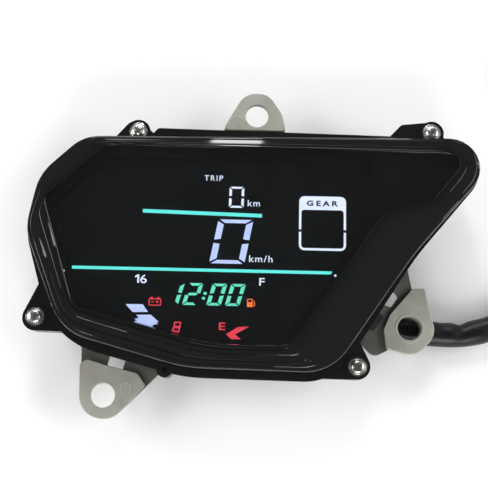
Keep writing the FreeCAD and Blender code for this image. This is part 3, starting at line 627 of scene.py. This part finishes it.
digitParts = {
    "0": ("top", "bottom", "upperLeft", "upperRight", "lowerLeft", "lowerRight"),
    "1": ("upperRight", "lowerRight"),
    "2": ("top", "upperRight", "middle", "lowerLeft", "bottom"),
}


def digitOutlines(digit, x, y, width, height, stroke, bar, gap, slant):
    lean = math.tan(math.radians(slant))
    shapes = segmentShapes(width, height, stroke, bar, gap)
    return [[(x + u + v * lean, y + v) for u, v in shapes[part]] for part in digitParts[digit]]


def addLabel(name, words, left, bottom, width, height, material, lift=0.0, spacing=1.0, boldness=0.018):
    # generic lettering, fitted to a box in mm
    text = bpy.data.curves.new(name, "FONT")
    text.body = words
    text.size = 1.0
    text.space_character = spacing
    text.extrude = 0.5
    text.offset = boldness
    holder = bpy.data.objects.new(name + "Text", text)
    scene.collection.objects.link(holder)
    bpy.context.view_layer.update()
    mesh = bpy.data.meshes.new_from_object(holder.evaluated_get(bpy.context.evaluated_depsgraph_get()))
    bpy.data.objects.remove(holder)
    xs = [v.co.x for v in mesh.vertices]
    ys = [v.co.y for v in mesh.vertices]
    shiftX, shiftY = displaySet["shift"]
    scaleX = width * mm / (max(xs) - min(xs))
    scaleY = height * mm / (max(ys) - min(ys))
    low = (displaySet["level"] + lift) * mm
    for v in mesh.vertices:
        v.co = (
            (v.co.x - min(xs)) * scaleX + (left + shiftX) * mm,
            (v.co.y - min(ys)) * scaleY + (bottom + shiftY) * mm,
            low + (v.co.z + 0.5) * displaySet["thick"] * mm,
        )
    mesh.name = name
    return newPiece(name, mesh, material)


def roundedBox(left, bottom, right, top, radius, steps=5):
    points = []
    for cx, cy, turn in ((right - radius, top - radius, 0), (left + radius, top - radius, 90),
                         (left + radius, bottom + radius, 180), (right - radius, bottom + radius, 270)):
        for s in range(steps + 1):
            angle = math.radians(turn + 90 * s / steps)
            points.append((cx + radius * math.cos(angle), cy + radius * math.sin(angle)))
    return points


def ringBetween(outer, inner):
    # a closed band between two outlines with equal point counts, as quads
    count = len(outer)
    return [[outer[i], outer[(i + 1) % count], inner[(i + 1) % count], inner[i]] for i in range(count)]


def makeGraphics():
    flatPieces("trip_line", [[(-47.8, 12.8), (3.5, 11.7), (3.5, 13.3), (-47.8, 14.4)]], litFinish["teal"])
    flatPieces("speed_line", [[(-76.8, -12.35), (33.7, -12.45), (33.7, -11.1), (-76.8, -11.0)]],
               litFinish["teal"])
    flatPieces("speed_digit", digitOutlines("0", -18.7, -8.7, 15.0, 19.2, 2.7, 1.5, 0.75, 10.5),
               litFinish["lavender"])
    flatPieces("trip_digit", digitOutlines("0", -10.9, 15.8, 6.4, 9.3, 1.1, 0.85, 0.45, 1.0),
               litFinish["white"])
    clock = []
    for digit, x in (("1", -37.5), ("2", -29.7), ("0", -19.5), ("0", -11.65)):
        clock += digitOutlines(digit, x, -26.8, 6.2, 9.4, 1.65, 1.12, 0.35, 16.0)
    flatPieces("clock_digits", clock, litFinish["green"])
    flatPieces("clock_colon", [roundedBox(x - 0.7, y - 0.6, x + 0.7, y + 0.6, 0.5)
                               for x, y in ((-20.0, -21.7), (-20.6, -23.8))], litFinish["green"])
    addLabel("trip_label", "TRIP", -21.7, 27.6, 8.0, 2.4, litFinish["white"], spacing=1.25, boldness=0.006)
    addLabel("distance_label", "km", -2.8, 16.6, 5.3, 2.7, litFinish["white"], spacing=1.2, boldness=0.008)
    addLabel("speed_label", "km/h", -1.7, -7.8, 10.0, 2.9, litFinish["white"], spacing=1.2, boldness=0.01)
    flatPieces("volt_one", [[(-48.9, -17.8), (-48.1, -17.8), (-48.1, -14.2), (-48.8, -14.2), (-49.9, -14.9),
                             (-49.9, -15.6), (-48.9, -15.1)]], litFinish["white"])
    addLabel("volt_six", "6", -47.6, -17.9, 2.7, 3.7, litFinish["white"], boldness=0.006)
    addLabel("full_label", "F", 2.8, -17.9, 2.3, 3.3, litFinish["white"], boldness=0.01)
    addLabel("empty_label", "E", -13.8, -37.1, 2.7, 3.2, litFinish["red"], boldness=0.01)
    print("display lettering done")


def makeGearBox():
    outer = roundedBox(19.4, -2.2, 39.6, 21.6, 2.4)
    inner = roundedBox(20.4, -1.2, 38.6, 15.6, 1.4)
    sides = ringBetween(outer, inner)
    flatPieces("gear_frame", sides, litFinish["white"])
    flatPieces("gear_side_gaps", [[(19.2, 5.8), (20.6, 5.8), (20.6, 6.9), (19.2, 6.9)],
                                  [(38.4, 5.8), (39.8, 5.8), (39.8, 6.9), (38.4, 6.9)]], inkFinish, lift=0.1)
    addLabel("gear_label", "GEAR", 22.7, 17.3, 13.4, 2.4, inkFinish, lift=0.1, spacing=1.5, boldness=0.035)


def makeSymbols():
    battery = ringBetween(roundedBox(-43.7, -27.4, -38.4, -24.3, 0.5),
                          roundedBox(-43.25, -26.95, -38.85, -24.75, 0.2))
    battery += [[(-43.0, -24.3), (-41.9, -24.3), (-41.9, -23.7), (-43.0, -23.7)],
                [(-40.2, -24.3), (-39.1, -24.3), (-39.1, -23.7), (-40.2, -23.7)],
                [(-42.6, -26.0), (-41.5, -26.0), (-41.5, -25.6), (-42.6, -25.6)],
                [(-40.7, -26.0), (-39.6, -26.0), (-39.6, -25.6), (-40.7, -25.6)],
                [(-40.35, -26.35), (-39.95, -26.35), (-39.95, -25.25), (-40.35, -25.25)]]
    flatPieces("battery_symbol", battery, litFinish["red"])
    pump = ringBetween(roundedBox(-2.2, -27.1, 0.2, -23.6, 0.3), roundedBox(-1.8, -25.1, -0.2, -24.0, 0.2))
    pump += [[(-1.8, -26.9), (-0.2, -26.9), (-0.2, -25.1), (-1.8, -25.1)],
             [(0.5, -24.1), (0.9, -24.4), (1.2, -26.0), (0.9, -26.9), (0.5, -26.6), (0.8, -25.8)]]
    flatPieces("fuel_symbol", pump, litFinish["orange"])
    lamp = ringBetween([(-32.6, -34.0), (-29.6, -34.0), (-29.9, -36.2), (-32.9, -36.2)],
                       [(-32.1, -34.5), (-30.2, -34.5), (-30.4, -35.7), (-32.3, -35.7)])
    lamp += ringBetween([(-33.0, -36.2), (-29.9, -36.2), (-30.4, -38.6), (-33.6, -38.0)],
                        [(-32.4, -36.7), (-30.5, -36.7), (-30.9, -37.9), (-32.8, -37.6)])
    flatPieces("service_symbol", lamp, litFinish["red"])
    flatPieces("fuel_arrow", [[(-10.7, -38.75), (-5.8, -35.65), (-1.0, -35.35), (-6.9, -38.75)],
                              [(-10.7, -38.75), (-6.9, -38.75), (-4.5, -40.75), (-8.5, -40.85)]],
               litFinish["red"])
    flatPieces("gauge_block_upper", [[(-53.4, -27.0), (-46.1, -26.9), (-43.8, -30.1), (-50.2, -30.3)]],
               litFinish["lavender"])
    flatPieces("gauge_block_lower", [[
        (-48.7, -31.4), (-42.5, -31.3), (-39.1, -34.3), (-40.2, -34.5), (-39.4, -35.2), (-41.0, -35.3),
        (-41.9, -36.3), (-45.6, -35.3), (-49.6, -34.3), (-48.2, -33.8), (-49.4, -33.2), (-47.6, -32.7),
    ]], litFinish["lavender"])
    print("display symbols done")


# painted glints: small glowing dots at the two ends of the long line
glintDotSet = {
    "places": [(-80.4, -13.4), (34.6, -13.0)],  # mm
    "profile": [(0.55, 34.4), (0.5, 34.6), (0.3, 34.75)],  # radius and height in mm
    "around": 16,
}


def makeGlintDots():
    # two small rivet-shaped dots that glow white, one at either end of the long line: painted glints of the
    # line's light at the window edge
    bm = bmesh.new()
    for x, y in glintDotSet["places"]:
        rows = [circleRing(bm, x, y, *row, glintDotSet["around"]) for row in glintDotSet["profile"]]
        joinRings(bm, rows)
        bm.faces.new(rows[0])
        bm.faces.new(rows[-1])
    newPiece("mask_glint_dots", meshFrom(bm, "mask_glint_dots", 50), litFinish["white"])


makeGraphics()
makeGearBox()
makeSymbols()
makeGlintDots()


# cover screws: washer-faced heads with a cross recess, turned from one profile

screwSet = {
    "profile": [
        (4.1, 28.9), (4.1, 29.5), (3.95, 29.72), (3.65, 29.8), (3.3, 29.78), (3.1, 29.5), (2.95, 29.42),
        (2.85, 29.6), (2.82, 30.5), (2.6, 30.95), (2.1, 31.25), (1.3, 31.4), (0.6, 31.42),
    ],
    "around": 48,
    "recess": (0.78, 2.0, 1.7),  # half width, half length and depth in mm
    "top": 31.42,  # mm
    "mouthRise": 0.4,  # mm, how far the cutting cross stands out of the head
    # the cross's length at its floor and its mouth, against the half length above
    "floorShare": 0.45,
    "mouthShare": 1.1,
    "seed": 11,
    "turnOrder": (3, 0, 2, 1),  # which head gets the first turn, the second and so on
}


def nodeCentres(node):
    # the centre of each separate solid of a node, in plan and in the order of its mesh
    mesh = frame["nodes"][node].data
    bm = bmesh.new()
    bm.from_mesh(mesh)
    bmesh.ops.remove_doubles(bm, verts=bm.verts, dist=weldDistance)
    left = set(bm.verts)
    centres = []
    for start in bm.verts:
        if start not in left:
            continue
        left.remove(start)
        stack = [start]
        island = []
        while stack:
            vert = stack.pop()
            island.append(vert.co.copy())
            for linked in vert.link_edges:
                other = linked.other_vert(vert)
                if other in left:
                    left.remove(other)
                    stack.append(other)
        xs = [c.x for c in island]
        ys = [c.y for c in island]
        centres.append(Vector(((min(xs) + max(xs)) / 2, (min(ys) + max(ys)) / 2, 0)))
    bm.free()
    return centres


def turnedHead(bm, profile, around):
    rings = [circleRing(bm, 0, 0, *row, around) for row in profile]
    joinRings(bm, rings)
    bm.faces.new(rings[0])
    bm.faces.new(rings[-1])


def crossTool():
    # a tapered cross, wider at its mouth
    halfWidth, halfLength, depth = screwSet["recess"]
    levels = (
        (screwSet["top"] - depth, screwSet["floorShare"]),
        (screwSet["top"] + screwSet["mouthRise"], screwSet["mouthShare"]),
    )
    bm = bmesh.new()
    for turn in (0, 90):
        rows = []
        for height, share in levels:
            x, y = halfLength * share, halfWidth * (0.55 + 0.45 * share)
            corners = [(-x, -y), (x, -y), (x, y), (-x, y)]
            spin = Matrix.Rotation(math.radians(turn), 2)
            rows.append([bm.verts.new((*(spin @ Vector(c) * mm), height * mm)) for c in corners])
        for row in rows:
            bm.faces.new(row)
        joinRings(bm, rows)
    return meshFrom(bm, "crossTool")


def makeCoverScrews():
    toolObject = bpy.data.objects.new("crossTool", crossTool())
    scene.collection.objects.link(toolObject)
    bm = bmesh.new()
    turnedHead(bm, screwSet["profile"], screwSet["around"])
    head = bpy.data.objects.new("headBlank", meshFrom(bm, "headBlank"))
    scene.collection.objects.link(head)
    carve = head.modifiers.new("recess", "BOOLEAN")
    carve.operation = "DIFFERENCE"
    carve.solver = "EXACT"
    carve.use_self = True
    carve.object = toolObject
    bpy.context.view_layer.update()
    carved = bpy.data.meshes.new_from_object(head.evaluated_get(bpy.context.evaluated_depsgraph_get()))
    bpy.data.objects.remove(head)
    bpy.data.objects.remove(toolObject)
    joined = bmesh.new()
    random.seed(screwSet["seed"])
    centres = nodeCentres("cover_screws")
    for index in screwSet["turnOrder"]:
        copy = carved.copy()
        turn = Matrix.Rotation(random.uniform(0, math.pi / 2), 4, "Z")
        copy.transform(Matrix.Translation(centres[index]) @ turn)
        joined.from_mesh(copy)
        bpy.data.meshes.remove(copy)
    mesh = meshFrom(joined, "cover_screw_heads", 35)
    heads = newPiece("cover_screw_heads", mesh, finishes["zinc_steel"])
    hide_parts("cover_screws")
    print("cover screws", len(mesh.polygons), "faces")


makeCoverScrews()


# softened edges: each moulded or pressed piece keeps its CAD shape and gets the small radius of the real one

edgeSet = {
    "radii": {  # mm
        "front_frame": 0.35, "rear_case": 0.4, "stay_frame": 0.25, "top_ear_plate": 0.35,
        "left_ear_plate": 0.35, "right_ear_plate": 0.35, "right_ear_collar": 0.25, "plug_housing": 0.3,
        "plug_boot": 0.6, "plug_latch": 0.15, "cable_grommet": 0.5, "stay_screws": 0.2,
        "stay_washers": 0.12, "breather_patch": 0.15,
    },
    "flatAngle": 0.5,  # degrees, neighbouring faces this close to one plane are joined
    "edgeAngle": 35,  # degrees, edges sharper than this are softened
    "steps": 3,
}


def softenEdges():
    for node, radius in edgeSet["radii"].items():
        piece = frame["nodes"][node]
        weld = piece.modifiers.new("weld", "WELD")
        weld.merge_threshold = weldDistance
        plain = piece.modifiers.new("plain", "DECIMATE")
        plain.decimate_type = "DISSOLVE"
        plain.angle_limit = math.radians(edgeSet["flatAngle"])
        soften = piece.modifiers.new("soften", "BEVEL")
        soften.width = radius * mm
        soften.segments = edgeSet["steps"]
        soften.limit_method = "ANGLE"
        soften.angle_limit = math.radians(edgeSet["edgeAngle"])
        soften.harden_normals = True
    print("edges softened on", len(edgeSet["radii"]), "nodes")


softenEdges()


# spot-weld marks on the ears: a shallow pressed ring with a low middle

weldSet = {
    # x and y in mm, then the part of the circle that shows in degrees
    "places": [
        (-8.7, 60.55, 20, 200), (8.9, 60.95, -20, 190), (-53.9, -60.95, 0, 360), (73.0, -21.3, 205, 350),
    ],
    "level": 16.6,  # mm
    "profile": [(2.7, 0.0), (2.45, 0.06), (2.2, 0.1), (1.95, 0.05), (1.8, 0.0)],  # radius and rise in mm
    "around": 36,
    "fadeSteps": 5,  # a part circle runs out over this many steps at each end
}


def makeWeldMarks():
    bm = bmesh.new()
    for x, y, first, last in weldSet["places"]:
        steps = weldSet["around"]
        spokes = []
        for k in range(steps + 1):
            angle = math.radians(first + (last - first) * k / steps)
            fade = min(1.0, k / weldSet["fadeSteps"], (steps - k) / weldSet["fadeSteps"])
            if last - first == 360:
                fade = 1.0
            spokes.append([
                bm.verts.new(((x + radius * math.cos(angle)) * mm, (y + radius * math.sin(angle)) * mm,
                              (weldSet["level"] + rise * fade) * mm))
                for radius, rise in weldSet["profile"]
            ])
        for before, after in zip(spokes, spokes[1:]):
            for k in range(len(before) - 1):
                bm.faces.new((before[k], before[k + 1], after[k + 1], after[k]))
    newPiece("weld_marks", meshFrom(bm, "weld_marks", 60), finishes["ear_steel"])


makeWeldMarks()


# the collar's end is dressed almost flush with the right ear

collarFace = {
    "centre": (69.0, -32.45),  # mm
    "profile": [  # radius and height in mm
        (7.5, 16.25), (7.35, 16.34), (7.0, 16.46), (6.5, 16.6), (5.95, 16.72), (5.55, 16.72), (5.32, 16.6),
        (5.3, 16.2),
    ],
    "around": 64,
}


def makeCollarFace():
    bm = bmesh.new()
    x, y = collarFace["centre"]
    rings = [circleRing(bm, x, y, *row, collarFace["around"]) for row in collarFace["profile"]]
    joinRings(bm, rings)
    newPiece("collar_face", meshFrom(bm, "collar_face", 60), finishes["ear_steel"])


makeCollarFace()


# studio: pale table, even light, and one narrow lamp beyond the top edge

studioSet = {
    "table": (0.93, 0.93, 0.925),
    "tableSize": 3.0,  # m from its middle to its edge
    "sky": (0.97, 0.99, 1.0),
    "horizonLight": 0.3,
    "overheadLight": 0.09,
    "skyFade": (0.35, 0.9),  # height over the horizon, from 0 to 1, where the light falls off
    # name, x, y in metres and power in watts
    "softboxes": [
        ("left", -1.3, 0.1, 13.0), ("right", 1.3, 0.1, 13.0), ("near", 0.1, -1.3, 15.0),
        ("far", -0.1, 1.3, 8.5),
    ],
    "softboxHeight": 0.8,  # m
    "softboxSize": (1.0, 0.7),  # m
    "aim": (0, 0, 0.02),  # m, where the softboxes point
    "strip": (-0.019, 0.62, 0.62),  # m
    "stripAim": (-0.01, 0.04, 0.04),  # m
    "stripSize": (0.065, 0.24),  # m
    "stripPower": 0.9,  # watts
}


def addArea(name, place, target, wide, tall, power):
    data = bpy.data.lights.new(name, "AREA")
    data.shape = "RECTANGLE"
    data.size, data.size_y, data.energy = wide, tall, power
    light = bpy.data.objects.new(name, data)
    scene.collection.objects.link(light)
    light.location = place
    light.rotation_mode = "QUATERNION"
    light.rotation_quaternion = (Vector(target) - Vector(place)).to_track_quat("-Z", "Y")


def makeStudio():
    bm = bmesh.new()
    bmesh.ops.create_grid(bm, x_segments=8, y_segments=8, size=studioSet["tableSize"])
    table = bpy.data.objects.new("table", meshFrom(bm, "table"))
    scene.collection.objects.link(table)
    pale = studioSet["table"]
    material, tree, shader = newMaterial("tableTop", pale, 0.7)
    spreadColour(tree, shader, addNoise(tree, 2, 2), pale, tuple(c * 1.03 for c in pale))
    table.data.materials.append(material)
    world = bpy.data.worlds.new("studio")
    world.use_nodes = True
    background = world.node_tree.nodes["Background"]
    background.inputs["Color"].default_value = (*studioSet["sky"], 1)
    direction = world.node_tree.nodes.new("ShaderNodeTexCoord")
    parts = world.node_tree.nodes.new("ShaderNodeSeparateXYZ")
    fade = world.node_tree.nodes.new("ShaderNodeMapRange")
    fade.interpolation_type = "SMOOTHSTEP"
    fade.inputs["From Min"].default_value, fade.inputs["From Max"].default_value = studioSet["skyFade"]
    fade.inputs["To Min"].default_value = studioSet["horizonLight"]
    fade.inputs["To Max"].default_value = studioSet["overheadLight"]
    world.node_tree.links.new(direction.outputs["Generated"], parts.inputs["Vector"])
    world.node_tree.links.new(parts.outputs["Z"], fade.inputs["Value"])
    world.node_tree.links.new(fade.outputs["Result"], background.inputs["Strength"])
    scene.world = world
    for name, x, y, power in studioSet["softboxes"]:
        place = (x, y, studioSet["softboxHeight"])
        addArea(name + "Softbox", place, studioSet["aim"], *studioSet["softboxSize"], power)
    addArea("stripLamp", studioSet["strip"], studioSet["stripAim"], *studioSet["stripSize"],
            studioSet["stripPower"])
    scene.view_settings.view_transform = "Standard"
    print("studio ready")


makeStudio()
